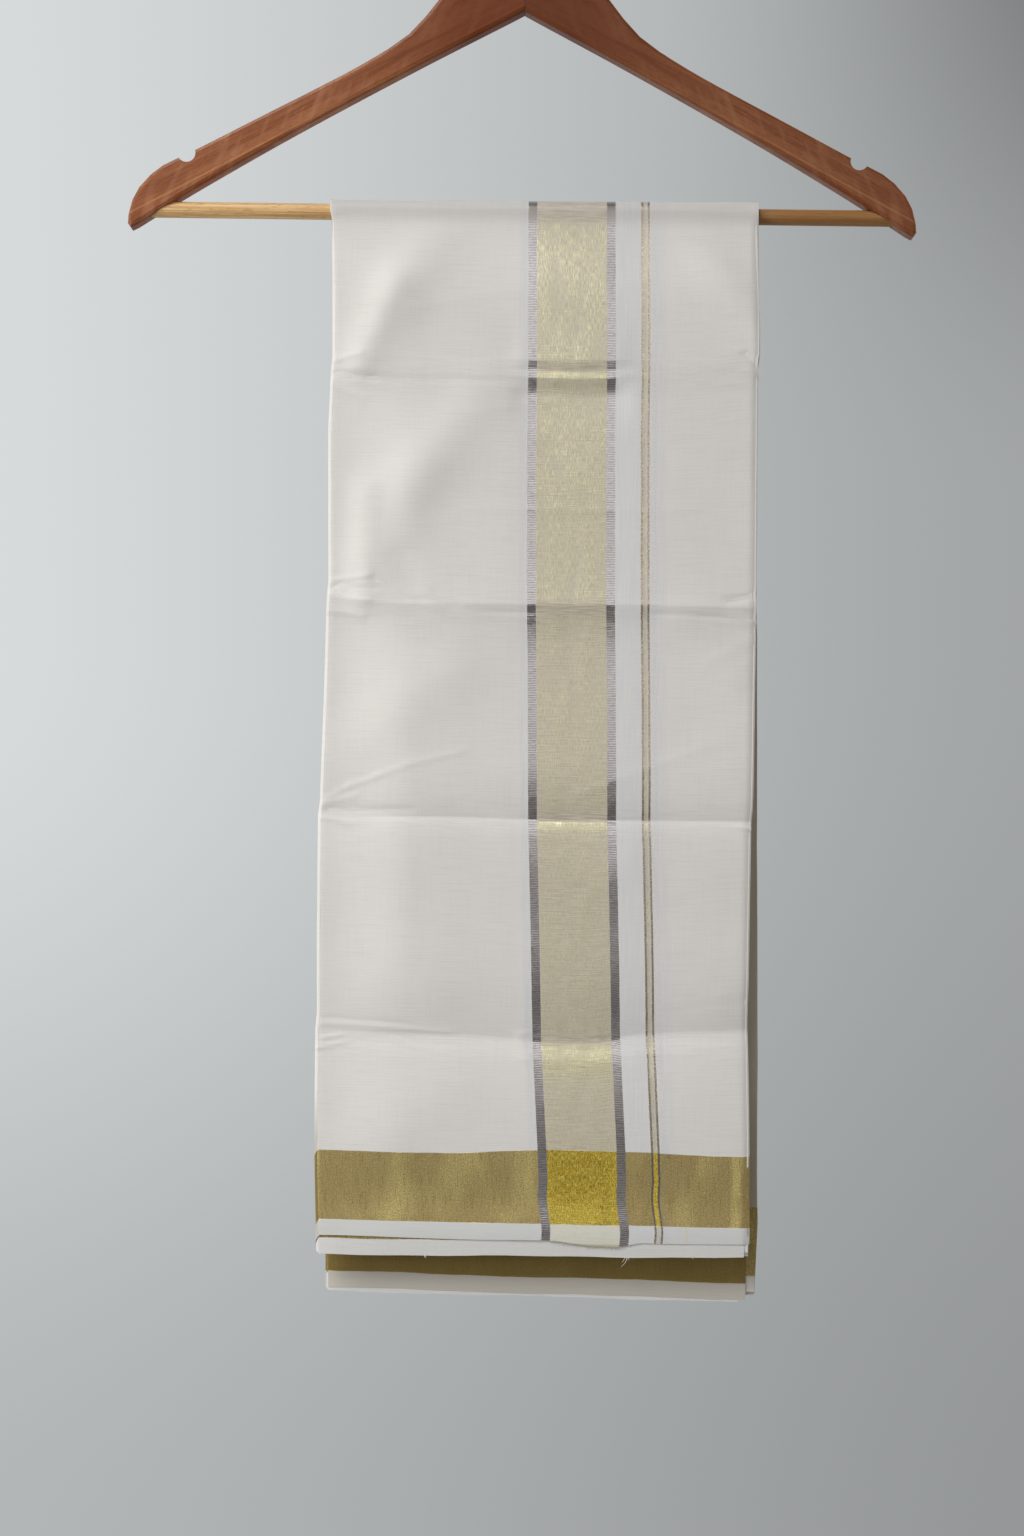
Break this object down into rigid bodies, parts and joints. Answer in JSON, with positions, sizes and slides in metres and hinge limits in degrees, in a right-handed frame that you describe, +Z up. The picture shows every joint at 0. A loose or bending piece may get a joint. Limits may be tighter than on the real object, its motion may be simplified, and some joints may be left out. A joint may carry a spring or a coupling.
{
  "type": "dhoti cloth on a wooden hanger",
  "caption": "White cotton dhoti with gold borders, folded lengthwise into a long flat strip and hung over the trouser bar of a wooden hanger.",
  "frame": {"origin": "inside top of the hook, where it hangs on a rail", "axes": "+Z up, +X to the right seen from the front, +Y from the front fall to the rear fall"},
  "size_m": [0.45, 0.0264, 0.8379],
  "materials": {
    "cotton": "matt plain weave, off-white, with gold and silver bands woven in",
    "hanger_wood": "red-brown stain under satin lacquer",
    "bar_wood": "light satin wood, finely flecked",
    "hook_steel": "bright plated wire"
  },
  "bodies": {
    "root": {"outer_fold": "cotton", "middle_leaves": "cotton", "hanger_arm_left": "hanger_wood", "hanger_arm_right": "hanger_wood", "trouser_bar": "bar_wood", "hook": "hook_steel"}
  },
  "joints": []
}
